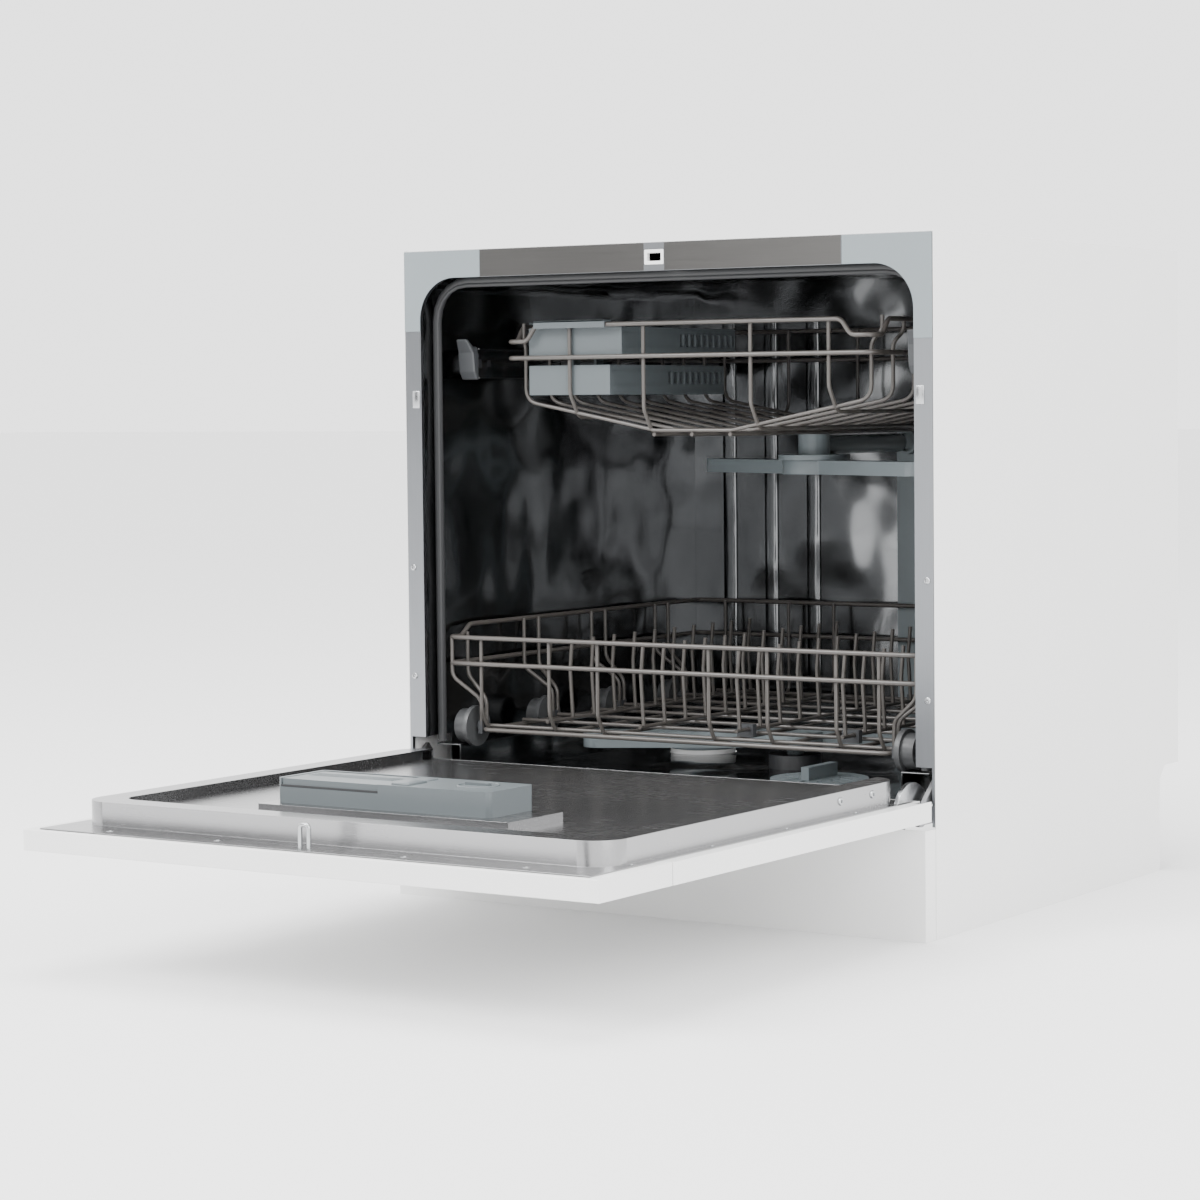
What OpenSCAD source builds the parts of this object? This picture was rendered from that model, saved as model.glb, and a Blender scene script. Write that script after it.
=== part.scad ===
// Compact built-in dishwasher, door open, with two pull-out racks.
// Millimetres, +Z up, the front faces -Y. The origin is on the floor, under the centre of the cabinet.

/* [Cabinet] */
// Overall width of the cabinet
body_w = 550; // [450:1:650]
// Overall height from the floor to the top panel
body_h = 590; // [500:1:700]
// Depth from the front frame to the back panel
body_d = 493; // [420:1:600]
// Thickness of the steel sheets
sheet = 1.2; // [0.8:0.1:2]
// Height of the hose notch at the rear bottom corner
notch_h = 100; // [60:1:120]
// Depth of the hose notch
notch_d = 43; // [30:1:60]
// Height of the kick plate
plinth_h = 93.5; // [80:0.5:95]
// How far the kick plate stands in front of the frame
plinth_out = 18; // [15:0.5:30]
// Radius of a levelling foot
foot_r = 18; // [12:1:22]

// Distance between the two screw holes for worktop brackets
bracket_pitch = 420; // [300:1:420]
// Diameter of those holes
bracket_hole_d = 5; // [4:0.5:8]

/* [Tub] */
// Width of the stiles beside the tub opening
stile_w = 17.6; // [12:0.1:25]
// Height of the frame above the tub opening
header_h = 26; // [20:1:40]
// Radius of the upper corners of the tub opening
corner_r = 38; // [20:1:60]
// Distance of the tub's back wall from the back panel
back_gap = 25; // [15:1:40]
// Height of the tub floor
tub_z = 105; // [100:1:108]
// Height of the wheel tracks
track_z = 136.7; // [130:0.1:150]
// Width of a wheel track
track_w = 25; // [18:1:30]

/* [Door] */
// Height of the hinge axis
hinge_z = 105; // [100:1:110]
// Distance of the hinge axis in front of the frame
hinge_out = 14; // [12:0.5:18]
// Thickness of the door without its liner
door_t = 17; // [12:0.5:25]
// Height of the door's underside when it is open
door_z = 100; // [98:0.5:104]
// Height of the control fascia
fascia_h = 96; // [70:1:130]
// Width of the detergent dispenser
dispenser_w = 208; // [150:1:240]
// Diameter of a hinge pin
hinge_pin_d = 8; // [6:0.5:10]

/* [Racks] */
// Diameter of the rack wires
wire_d = 4.4; // [3:0.1:6]
// Height of the lower rack's top wire
lower_top_z = 245; // [200:1:280]
// Radius of the running drum of a lower wheel
wheel_r = 15.5; // [12:0.5:20]
// How many plate tines stand in a row
tine_count = 11; // [6:1:16]
// Length of a plate tine
tine_h = 74; // [50:1:80]
// Height of the upper rails
rail_h = 28; // [22:1:34]
// Distance of the rails below the top of the cabinet
rail_drop = 117; // [100:1:140]
// Height of the upper rack from its lowest to its highest wire
upper_h = 99; // [80:1:110]
// Radius of the rollers that guide the rails
roller_r = 12; // [9:0.1:14]

/* [Clearances] */
// Gap between moving pieces
gap = 0.3; // [0.2:0.05:0.6]
// Radial play of pins and axles in their bores
play = 0.1; // [0.05:0.01:0.3]

/* [Hidden] */
$fn = 48;
e = 0.01;
half_w = body_w / 2;
in_w = half_w - sheet - 0.2;           // half width inside the side panels
mouth_w = in_w - stile_w;              // half width of the tub opening
mouth_top = body_h - header_h;
mouth_bottom = tub_z + 5;
tub_w = mouth_w + 2;                   // half width of the tub's inside
tub_top = mouth_top + 8;
tub_back_y = body_d - back_gap;
door_front = -hinge_out - (body_h - hinge_z);
door_rear = -hinge_out + 6;
door_top = door_z + door_t;
liner_w = mouth_w - 1.5;
liner_front = door_front + 41;
liner_rear = door_rear - 14;
flange_t = 0.8;
liner_in = mouth_w - track_w;          // inner half width of the wheel tracks
pan_z = 128;                           // sunk middle of the liner
disp_z = pan_z + 7;
disp_h = 20;
disp_front = door_front + 117;
disp_d = 58;
disp_x = -8;
lid_w = 96;
latch_z = body_h - 14;                 // closed height of the latch hook
latch_y = -hinge_out - (latch_z - hinge_z);
pocket_top = hinge_z + 39;

rack_w = mouth_w - 9;                  // half width of the lower rack
lower_front = 24;
lower_rear = tub_back_y - 13;
lower_floor_z = 150;
lower_mid_z = lower_top_z - 34;
wheel_z = track_z + gap + wheel_r;
wheel_x = liner_in - 1;                // inner face of a wheel's drum
wheel_w = 10.5;
floor_w = wheel_x - 16;                // half width of the lower rack's wire floor
wheel_pitch = (lower_rear - lower_front - 89) / 3;
wheel_y = [for (i = [0:3]) lower_front + 14 + i * wheel_pitch];
tine_x = [-160, -58, 44, 152];
tine_y0 = lower_front + 40;
tine_pitch = (lower_rear - lower_front - 80) / (tine_count - 1);
weld = 0.8;                            // how deep crossing wires are welded into each other
cross = wire_d - weld;
tine_axis_z = lower_floor_z + cross + wire_d + gap;

rail_z = body_h - rail_drop;
rail_x = mouth_w - 20;                 // middle of a rail's web
rail_side = 9;                         // reach of the flanges on each side of the web
rail_front = 50;
rail_rear = tub_back_y - 28;
roller_z = rail_z + rail_h / 2;
guide_y = [72.5, 190];
upper_w = rail_x - 44;                 // half width of the upper rack
upper_front = 46;
upper_rear = tub_back_y - 28;
upper_top_z = rail_z + rail_h + 19;
upper_mid_z = upper_top_z - 29;
upper_floor_z = upper_top_z - upper_h;
rack_roller_y = [205, upper_rear - 40];
upper_arm_y = 273 * body_d / 493;
arm_y = tub_back_y / 2;
arm_r = min(200, arm_y - 28, floor_w - 10);
upper_arm_r = min(arm_r, tub_back_y - upper_arm_y - 23);

steel = [0.75, 0.76, 0.77];
white = [0.93, 0.93, 0.92];
plastic = [0.69, 0.73, 0.74];
dark = [0.25, 0.25, 0.27];
coat = [0.64, 0.62, 0.6];

// Everything below is drawn with y = 0 on the front frame.
module front() { translate([0, -body_d / 2, 0]) children(); }

// A box from its lowest to its highest corner.
module box(a, b) { translate(a) cube([b[0] - a[0], b[1] - a[1], b[2] - a[2]]); }

module both() { children(); mirror([1, 0, 0]) children(); }

// A rectangle with rounded corners, from its lowest to its highest corner.
module round_rect(a, b, r) {
  translate([a[0] + r, a[1]]) square([b[0] - a[0] - 2 * r, b[1] - a[1]]);
  translate([a[0], a[1] + r]) square([b[0] - a[0], b[1] - a[1] - 2 * r]);
  for (x = [a[0] + r, b[0] - r], y = [a[1] + r, b[1] - r]) translate([x, y]) circle(r);
}

// A slab with rounded upright edges.
module slab(a, b, r) {
  translate([0, 0, a[2]]) linear_extrude(b[2] - a[2]) round_rect([a[0], a[1]], [b[0], b[1]], r);
}

// Draws a 2D outline in the X-Z plane and gives it depth along Y.
module along_y(y0, y1) {
  translate([0, y1, 0]) rotate([90, 0, 0]) linear_extrude(y1 - y0) children();
}

module rod_x(x0, x1, y, z, r) { translate([x0, y, z]) rotate([0, 90, 0]) cylinder(r = r, h = x1 - x0); }
module rod_y(y0, y1, x, z, r) { translate([x, y0, z]) rotate([-90, 0, 0]) cylinder(r = r, h = y1 - y0); }

// Rack wires are eight-sided bars along one axis.
wire_r = wire_d / 2;
module wire_x(x0, x1, y, z) { translate([x0, y, z]) rotate([0, 90, 0]) cylinder(r = wire_r, h = x1 - x0, $fn = 8); }
module wire_y(y0, y1, x, z) { translate([x, y0, z]) rotate([-90, 0, 0]) cylinder(r = wire_r, h = y1 - y0, $fn = 8); }
module wire_z(z0, z1, x, y) { translate([x, y, z0]) cylinder(r = wire_r, h = z1 - z0, $fn = 8); }
// A straight wire between two points.
module wire(p, q) {
  d = q - p;
  translate(p) rotate([0, acos(d[2] / norm(d)), atan2(d[1], d[0])]) cylinder(r = wire_r, h = norm(d), $fn = 8);
}

// ---- cabinet ----

module side_outline() {
  polygon([[0, 0], [body_d - notch_d, 0], [body_d - notch_d, notch_h - 12], [body_d - notch_d + 12, notch_h],
    [body_d, notch_h], [body_d, body_h], [0, body_h]]);
}
module side_panel() {
  translate([half_w, 0, 0]) rotate([0, -90, 0]) rotate([0, 0, -90]) mirror([1, 0, 0])
    linear_extrude(sheet) side_outline();
}
module side_panel_right() color(white) front() side_panel();
module side_panel_left() color(white) front() mirror([1, 0, 0]) side_panel();

module top_panel() color(white) front() difference() {
  box([-in_w, 6, body_h - sheet], [in_w, body_d, body_h]);
  // screw holes for the brackets under a worktop
  both() translate([bracket_pitch / 2, 24, body_h - 5]) cylinder(d = bracket_hole_d, h = 10);
}

module back_panel() color(steel) front()
  box([-in_w, body_d - sheet, notch_h], [in_w, body_d, body_h - sheet - 0.2]);

foot_x = in_w - 30;
foot_y = [34, body_d - notch_d - 34];
drain_x = 110;
drain_r = 9.5;
gland_x = -200;
module base_tray() color(dark) front() difference() {
  union() {
    box([-in_w, 1, 0], [in_w, body_d - notch_d, 4]);
    both() for (y = foot_y) translate([foot_x, y, 4 - e]) cylinder(r = foot_r + 3, h = 14);
    // drain spigot and cable gland, moulded on the rear edge
    box([drain_x - 18, body_d - notch_d - 24, 4 - e], [drain_x + 18, body_d - notch_d - 10, 66]);
    rod_y(body_d - notch_d - 11, body_d - notch_d + 22, drain_x, 48, drain_r);
    box([gland_x - 14, body_d - notch_d - 24, 4 - e], [gland_x + 14, body_d - notch_d - 10, 62]);
    rod_y(body_d - notch_d - 11, body_d - notch_d + 8, gland_x, 48, 8);
  }
  rod_y(body_d - notch_d - 20, body_d, drain_x, 48, drain_r - 2.5);
  rod_y(body_d - notch_d - 20, body_d, gland_x, 48, 4.5);
  both() for (y = foot_y) {
    translate([foot_x, y, -1]) cylinder(r = foot_r + 0.4, h = 13);
    translate([foot_x, y, 5]) cylinder(r = 5.2, h = 20);
  }
}

module levelling_feet() color(plastic) front() both() for (y = foot_y) translate([foot_x, y, 0]) {
  cylinder(r = foot_r, h = 7);
  cylinder(r = 5, h = 40);
}

module plinth_panel() color(white) front() {
  box([-half_w + 0.5, -plinth_out, 0], [half_w - 0.5, -plinth_out + sheet, plinth_h]);
  both() box([half_w - 0.5 - sheet, -plinth_out, 0], [half_w - 0.5, -0.2, plinth_h]);
}

module mouth_outline(inset, r) {
  x = mouth_w - inset;
  z = mouth_top - inset;
  translate([-x, mouth_bottom]) square([2 * x, z - mouth_bottom - r]);
  translate([-x + r, mouth_bottom]) square([2 * (x - r), z - mouth_bottom]);
  for (s = [-1, 1]) translate([s * (x - r), z - r]) circle(r);
}

module hinge_pocket() both() box([mouth_w - 1, -2, hinge_z - 46], [in_w - 2.2, 40, pocket_top]);

module latch_slot(margin) box([-7 - margin, -3, latch_z - 3.5 - margin], [7 + margin, 30, latch_z + 3.5 + margin]);

module front_frame() color(steel) front() difference() {
  union() {
    along_y(0, 4) difference() {
      translate([-in_w, plinth_h + 1]) square([2 * in_w, body_h - plinth_h - 1.2 - sheet]);
      mouth_outline(0, corner_r);
    }
    box([-trim_x + 0.1, -0.8, mouth_top], [trim_x - 0.1, e, body_h - sheet - 0.2]);
  }
  hinge_pocket();
  latch_slot(3.2);
}

trim_x = 188;
module corner_outline(drop) difference() {
  translate([trim_x, mouth_top - drop]) square([in_w - trim_x, body_h - sheet - 0.2 - mouth_top + drop]);
  mouth_outline(0, corner_r);
  translate([0, mouth_top - drop - 1]) square([in_w - stile_w - 1, drop + 1 - corner_r]);
}
module corner_trims() color(plastic) front() {
  along_y(-0.8, 0) corner_outline(63);
  mirror([1, 0, 0]) along_y(-0.8, 0) corner_outline(48);
}

module latch_keeper() color([0.9, 0.9, 0.9]) front() difference() {
  latch_frame();
  latch_slot(0);
}
module latch_frame() box([-10, -1, latch_z - 6.5], [10, 3.6, latch_z + 6.5]);

module door_gasket() color(dark) front() difference() {
  along_y(18.2, 30) difference() {
    mouth_outline(-1.4, corner_r);
    mouth_outline(6, corner_r - 4);
  }
  box([-mouth_w - 3, 0, 0], [mouth_w + 3, 60, track_z + 2]);
}

// The tub's sides and top are one bent sheet.
module arch(w, top, r) {
  translate([-w, 0]) square([2 * w, top - r]);
  translate([-w + r, 0]) square([2 * (w - r), top]);
  for (s = [-1, 1]) translate([s * (w - r), top - r]) circle(r);
}
module tub_wrapper() color(steel) front() difference() {
  along_y(4.2, tub_back_y) difference() {
    arch(tub_w + sheet, tub_top + sheet, 20 + sheet);
    arch(tub_w, tub_top, 20);
    translate([-half_w, 0]) square([body_w, tub_z + 2]);
  }
  // the header leaves room for the latch hook, the sides for the hinge levers
  box([-14, 0, tub_top - 3], [14, 30, tub_top + 10]);
  both() box([tub_w - 3, 0, 0], [tub_w + 10, 42, pocket_top]);
}
module tub_back() color(steel) front() difference() {
  along_y(tub_back_y + 0.1, tub_back_y + 0.1 + sheet) difference() {
    arch(tub_w + sheet, tub_top + sheet, 20 + sheet);
    translate([-half_w, 0]) square([body_w, tub_z]);
  }
}
module tub_floor_outline() {
  polygon([[-tub_w, track_z], [-tub_w, track_z - sheet], [-liner_in - sheet, track_z - sheet],
    [-liner_in - sheet, tub_z], [liner_in + sheet, tub_z], [liner_in + sheet, track_z - sheet],
    [tub_w, track_z - sheet], [tub_w, track_z], [liner_in, track_z], [liner_in, tub_z + sheet],
    [-liner_in, tub_z + sheet], [-liner_in, track_z]]);
}
module tub_floor() color(steel) front() difference() {
  union() {
    along_y(19.5, tub_back_y) tub_floor_outline();
    box([-liner_in - sheet, 4.2, tub_z], [liner_in + sheet, 20, tub_z + sheet]);
  }
  translate([0, arm_y, tub_z - 5]) cylinder(r = 26, h = 20);
  translate([filter_x, filter_y, tub_z - 5]) cylinder(r = filter_r + 1, h = 20);
  translate([salt_x, salt_y, tub_z - 5]) cylinder(r = salt_r + 1, h = 20);
}

// ---- wash system ----

filter_x = 70;
filter_y = arm_y - 75;
filter_r = 45;
salt_x = -150;
salt_y = arm_y + 75;
salt_r = 32;

module sump() color(dark) front() difference() {
  union() {
    slab([-90, arm_y - 145, tub_z - 45], [130, arm_y + 45, tub_z - 0.2], 30);
    translate([0, arm_y, tub_z - 1]) cylinder(r = 25, h = 15);
  }
  translate([filter_x, filter_y, tub_z - 38]) cylinder(r = filter_r + gap, h = 60);
  translate([0, arm_y, tub_z + 2]) cylinder(r = 8 + play, h = 20);
}

module filter() color(plastic) front() translate([filter_x, filter_y, 0]) {
  difference() {
    translate([0, 0, tub_z - 37]) cylinder(r = filter_r, h = 40);
    translate([0, 0, tub_z - 34]) cylinder(r = filter_r - 3, h = 34);
    for (a = [0:30:330]) rotate([0, 0, a]) translate([20, -2.5, tub_z - 1]) cube([16, 5, 6]);
  }
  box([-4, -26, tub_z + 3 - e], [4, 26, tub_z + 15]);
}

module softener() color(white) front() difference() {
  union() {
    box([salt_x - 60, salt_y - 50, tub_z - 85], [salt_x + 50, salt_y + 60, tub_z - 8]);
    translate([salt_x, salt_y, tub_z - 9]) cylinder(r = salt_r, h = 14);
  }
  translate([salt_x, salt_y, tub_z - 4]) cylinder(r = salt_r - 8, h = 30);
}
module salt_cap() color(plastic) front() translate([salt_x, salt_y, tub_z + 5 + gap]) difference() {
  union() {
    cylinder(r = salt_r, h = 8);
    translate([0, 0, -8]) cylinder(r = salt_r - 8 - gap, h = 9);
    box([-18, -4, 7], [18, 4, 13]);
  }
  translate([0, 0, -9]) cylinder(r = salt_r - 12, h = 14);
}

module spray_arm(reach, z0, z1, turn) rotate([0, 0, turn]) difference() {
  translate([0, 0, z0]) linear_extrude(z1 - z0) {
    translate([-reach + 14, -14]) square([2 * reach - 28, 28]);
    for (s = [-1, 1]) translate([s * (reach - 14), 0]) circle(14);
    circle(30);
  }
  for (s = [-1, 1], x = [50:28:reach - 24]) translate([s * x, 0, z1 - 2]) cylinder(r = 2, h = 3);
}
lower_arm_z = [tub_z + 21, tub_z + 36];
module lower_spray_arm() color(plastic) front() translate([0, arm_y, 0]) {
  spray_arm(arm_r, lower_arm_z[0], lower_arm_z[1], 28);
  translate([0, 0, tub_z + 4]) cylinder(r = 8, h = lower_arm_z[0] - tub_z - 3);
}

upper_arm_z = [upper_floor_z - 40, upper_floor_z - 27];
module upper_spray_arm() color(plastic) front() translate([0, upper_arm_y, 0]) {
  spray_arm(upper_arm_r, upper_arm_z[0], upper_arm_z[1], -24);
  translate([0, 0, upper_arm_z[1] - 1]) cylinder(r = 8, h = 8);
}

pipe_z = upper_floor_z - 13;
pipe_end = upper_rear - 2;
nozzle_y = tub_back_y - 16;
module upper_feed_pipe() color(plastic) front() difference() {
  union() {
    rod_y(upper_arm_y, pipe_end, 0, pipe_z, 9);
    translate([0, upper_arm_y, upper_arm_z[1] + gap]) cylinder(r = 34, h = 5);
    translate([0, upper_arm_y, upper_arm_z[1] + gap]) cylinder(r = 15, h = upper_floor_z - upper_arm_z[1]);
  }
  translate([0, upper_arm_y, 0]) cylinder(r = 8 + play, h = upper_arm_z[1] + 9);
  rod_y(upper_arm_y + 20, pipe_end + 1, 0, pipe_z, 7);
}

module spray_riser() color(plastic) front() difference() {
  union() {
    box([-15, tub_back_y - 6, tub_z + 2], [15, tub_back_y, pipe_z + 12]);
    rod_y(nozzle_y, tub_back_y - 5, 0, pipe_z, 12);
  }
  rod_y(nozzle_y - 1, tub_back_y - 8, 0, pipe_z, 9);
}

module circulation_pump() color(dark) front() {
  rod_x(-60, 40, arm_y + 84, 40, 32);
  rod_x(40 - e, 58, arm_y + 84, 40, 24);
}
valve_x = min(190, foot_x - 30);
inlet_r = 13.2;
module inlet_valve() color(white) front() {
  box([valve_x - 22, body_d - notch_d - 60, 28], [valve_x + 22, body_d - notch_d - 10, 76]);
  rod_y(body_d - notch_d - 11, body_d - notch_d + 16, valve_x, 52, inlet_r);
}

// ---- hinges ----

arm_x = [in_w - 8.5, in_w - 4.5];
module pivot() translate([0, -hinge_out, hinge_z]) children();
module hinge_brackets() color(steel) front() both() {
  box([in_w - 4, -hinge_out - 7, hinge_z - 7], [in_w - 2.4, 60, hinge_z + 7]);
  box([in_w - 2.4 - e, 5, hinge_z - 7], [in_w - 0.2, 60, hinge_z + 7]);
  pivot() rod_x(arm_x[0] - 0.8, in_w - 3.9, 0, 0, hinge_pin_d / 2);
}
lever_len = 44;
module hinge_arms() color(steel) front() both() pivot() difference() {
  translate([arm_x[0], 0, 0]) rotate([90, 0, 90]) linear_extrude(arm_x[1] - arm_x[0]) {
    circle(9);
    translate([-110, door_z + 1.5 - hinge_z]) square([110, 9]);
    rotate(40) translate([0, -5]) square([lever_len, 10]);
  }
  rod_x(arm_x[0] - 1, arm_x[1] + 1, 0, 0, hinge_pin_d / 2 + play);
  rod_x(arm_x[0] - 1, arm_x[1] + 1, (lever_len - 8) * cos(40), (lever_len - 8) * sin(40), 2.5);
}
cover_r = 28;
cover_x = [mouth_w + 0.5, mouth_w + 4.5];
module hinge_covers() color(steel) front() both() difference() {
  pivot() rod_x(cover_x[0], cover_x[1], 0, 0, cover_r);
  box([0, -80, 0], [half_w, 80, door_top + 0.1]);
}

// ---- door ----

// A shallow pan with a narrow rim, open towards the liner.
module pan(y0, y1) difference() {
  box([-half_w, y0, door_z], [half_w, y1, door_top]);
  box([-half_w + 1.5, y0 + 1.5, door_z + 1.5], [half_w - 1.5, y1 - 1.5, door_top - 1.5]);
  box([-half_w + 12, y0 + 6, door_top - 2], [half_w - 12, y1 - 6, door_top + 1]);
}
seam_y = door_front + fascia_h;
module door_decor_panel() color(white) front() difference() {
  pan(seam_y + 0.6, door_rear);
  // slots where the hinge arms come out
  both() box([arm_x[0] - 1, door_rear - 8, door_z - 1], [in_w + 0.2, door_rear + 1, door_top + 1]);
  both() box([arm_x[0] - 1, -hinge_out - 12, door_z - 1], [in_w + 0.2, door_rear + 1, door_top + 1]);
}
button_x = [-200, 178];
button_y = door_front + 48;
grip_w = 150;
module door_fascia() color(white) front() difference() {
  union() {
    pan(door_front, seam_y);
    box([-grip_w / 2 - 1.5, door_front + 12.5, door_z + e], [grip_w / 2 + 1.5, door_front + 45.5, door_z + 13]);
    for (x = button_x) button_at(x) button_guide();
  }
  box([-grip_w / 2, door_front + 14, door_z - 1], [grip_w / 2, door_front + 44, door_z + 11.5]);
  for (x = button_x) button_at(x) box([-10 - gap, -6 - gap, -1], [10 + gap, 6 + gap, 3]);
}
// A bridge behind the skin guides the button's stem.
module button_guide() difference() {
  box([-17, -5, 1.4], [17, 5, 9.5]);
  box([-15, -6, 1], [15, 6, 7.5]);
  cylinder(r = 3 + play, h = 12);
}
module button_at(x) translate([x, button_y, door_z]) children();
module button(x) button_at(x) {
  box([-10, -6, -0.6], [10, 6, 4]);
  box([-12, -8, 1.5 + gap], [12, 8, 4]);
  translate([0, 0, 4 - e]) cylinder(r = 3, h = 5);
}
module power_button() color(plastic) front() button(button_x[0]);
module start_button() color(plastic) front() button(button_x[1]);

module door_liner() color(steel) front() difference() {
  union() {
    difference() {
      slab([-liner_w, liner_front, door_top], [liner_w, liner_rear, track_z], 26);
      slab([-liner_w + sheet, liner_front + sheet, door_top - 1],
        [liner_w - sheet, liner_rear - sheet, track_z - sheet], 25);
    }
    slab([-liner_in - sheet, liner_front + 22, pan_z - sheet],
      [liner_in + sheet, liner_rear - 4, track_z - 0.5], 18);
    // flange around the foot
    difference() {
      box([-liner_w - 9, liner_front - 34, door_top], [liner_w + 9, liner_rear + 6, door_top + flange_t]);
      slab([-liner_w + 1, liner_front + 1, door_top - 1], [liner_w - 1, liner_rear - 1, door_top + 3], 25);
      both() box([liner_w + 0.3, -hinge_out - cover_r - 3, door_top - 1], [liner_w + 20, 0, door_top + 3]);
    }
    // raised seat of the dispenser
    slab([disp_x - dispenser_w / 2 - 10, disp_front - 12, pan_z - e],
      [disp_x + dispenser_w / 2 + 26, disp_front + disp_d + 2, disp_z], 8);
  }
  slab([-liner_in, liner_front + 23, pan_z], [disp_x - dispenser_w / 2 - 10, liner_rear - 5, track_z + 1], 17);
  slab([disp_x + dispenser_w / 2 + 26, liner_front + 23, pan_z], [liner_in, liner_rear - 5, track_z + 1], 17);
  slab([-liner_in, disp_front + disp_d + 2, pan_z], [liner_in, liner_rear - 5, track_z + 1], 17);
  slab([-liner_in, liner_front + 23, pan_z], [liner_in, disp_front - 12, track_z + 1], 17);
  slab([-liner_in, liner_front + 23, disp_z], [liner_in, liner_rear - 5, track_z + 1], 17);
  // the recess runs out at the rear, so the wheels' flanges can pass
  box([-liner_in, liner_rear - 40, pan_z], [liner_in, liner_rear + 1, track_z + 1]);
}

lid_x = [disp_x - dispenser_w / 2 + 4, disp_x - dispenser_w / 2 + 4 + lid_w];
disp_top = disp_z + disp_h;
disp_rear = disp_front + disp_d;
lid_pin_y = disp_rear - 8.5;
cap_x = disp_x + dispenser_w / 2 - 34;
cap_y = disp_front + 32;
cap_r = 14;
module dispenser_body() color(plastic) front() difference() {
  slab([disp_x - dispenser_w / 2, disp_front, disp_z], [disp_x + dispenser_w / 2, disp_rear, disp_top], 4);
  // seat of the lid, with the detergent cup and the hinge groove under it
  box([lid_x[0], disp_front - 1, disp_top - 6], [lid_x[1], disp_rear - 3, disp_top + 1]);
  box([lid_x[0] + 8, disp_front + 8, disp_z + 3], [lid_x[1] - 8, disp_rear - 14.5, disp_top]);
  box([lid_x[0], disp_rear - 14, disp_top - 11], [lid_x[1], disp_rear - 3, disp_top + 1]);
  translate([cap_x, cap_y, disp_top - 5]) cylinder(r = cap_r + gap, h = 10);
  rod_x(lid_x[0] - 3, lid_x[1] + 3, lid_pin_y, disp_top - 3, 1.5 + play);
}
module dispenser_lid() color(plastic) front() {
  box([lid_x[0] + gap, disp_front + 1, disp_top - 5.6], [lid_x[1] - gap, disp_rear - 6, disp_top - 0.4]);
  rod_x(lid_x[0] - 2.5, lid_x[1] + 2.5, lid_pin_y, disp_top - 3, 1.5);
}
module rinse_cap() color(plastic) front() translate([cap_x, cap_y, disp_top - 5 + gap]) {
  cylinder(r = cap_r, h = 5);
  box([-11, -2.5, 4.9], [11, 2.5, 7]);
}

module latch_strike() color(steel) front() difference() {
  box([-6, latch_y - 2, door_top + flange_t], [6, latch_y + 2, track_z + 1.5]);
  box([-3.5, latch_y - 5, track_z - 9], [3.5, latch_y + 5, track_z - 3]);
}

// ---- lower rack ----

front_posts = [-212, -136, -83, 35, 95, 164, 206];
bend_z = wheel_z + wheel_r + 3.2 + wire_d + 2;
module lower_side(x) {
  wire_y(lower_front, lower_rear, x, lower_top_z);
  wire_y(lower_front, lower_rear, x, lower_mid_z);
  // a pair of wires bends in over each wheel and comes down on its bracket
  s = sign(x);
  for (y = wheel_y, dy = [-13, 11]) {
    wire_z(bend_z + 20, lower_top_z, x - s * cross, y + dy);
    wire([x - s * cross, y + dy, bend_z + 21], [s * (floor_w + 3), y + dy / 3, bend_z]);
    wire_z(lower_floor_z - 2, bend_z + 1, s * (floor_w + 3), y + dy / 3);
  }
}
module lower_end(y, inward) {
  for (z = [lower_top_z, lower_mid_z]) wire_x(-rack_w, rack_w, y, z);
  for (p = front_posts) wire_z(lower_floor_z, lower_top_z, p * rack_w / 247.4, y + inward * cross);
}
module lower_rack_sides() color(coat) front() for (s = [-1, 1]) lower_side(s * rack_w);
module lower_rack_ends() color(coat) front() {
  lower_end(lower_front, 1);
  lower_end(lower_rear, -1);
}

// Clips on the floor hold the rows of tines that fold.
module tine_clip(x, y) difference() {
  box([x - 12, y - 3, lower_floor_z + 1], [x + 5, y + 3, tine_axis_z + 4.5]);
  rod_y(y - 4, y + 4, x, tine_axis_z, wire_r + play);
}
module lower_rack_floor() color(coat) front() {
  for (x = [-floor_w, each [for (t = tine_x) t - 10], floor_w])
    wire_y(lower_front + 3, lower_rear - 3, x, lower_floor_z);
  for (y = [lower_front + cross, each wheel_y, lower_rear - cross])
    wire_x(-floor_w, floor_w, y, lower_floor_z + cross);
  for (y = wheel_y) wire_x(-floor_w, floor_w, min(y + wheel_pitch / 2, lower_rear - 12), lower_floor_z + cross);
}
// Stub axles beside the floor carry the wheels.
module wheel_axles() both() for (y = wheel_y) {
  rod_x(floor_w + 2, wheel_x + wheel_w - 1, y, wheel_z, 3);
  box([floor_w + 1.4, y - 6, lower_floor_z - 4], [floor_w + 6, y + 6, wheel_z + 5]);
}
// Everything plastic that is clipped onto the lower rack's floor.
module rack_fittings() color(plastic) front() {
  wheel_axles();
  for (i = [2, 3], n = [0.5, tine_count - 1.5]) tine_clip(tine_x[i], tine_y0 + n * tine_pitch);
}

module tine_row(x, z) {
  for (i = [0:tine_count - 1]) wire_z(z, tine_axis_z + tine_h, x, tine_y0 + i * tine_pitch);
  wire_y(tine_y0 - 8, tine_y0 + (tine_count - 1) * tine_pitch + 8, x, z);
}
module fixed_tines() color(coat) front() for (i = [0, 1]) tine_row(tine_x[i], lower_floor_z + 2 * cross);
module folding_tines_inner() color(coat) front() tine_row(tine_x[2], tine_axis_z);
module folding_tines_outer() color(coat) front() tine_row(tine_x[3], tine_axis_z);

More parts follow.
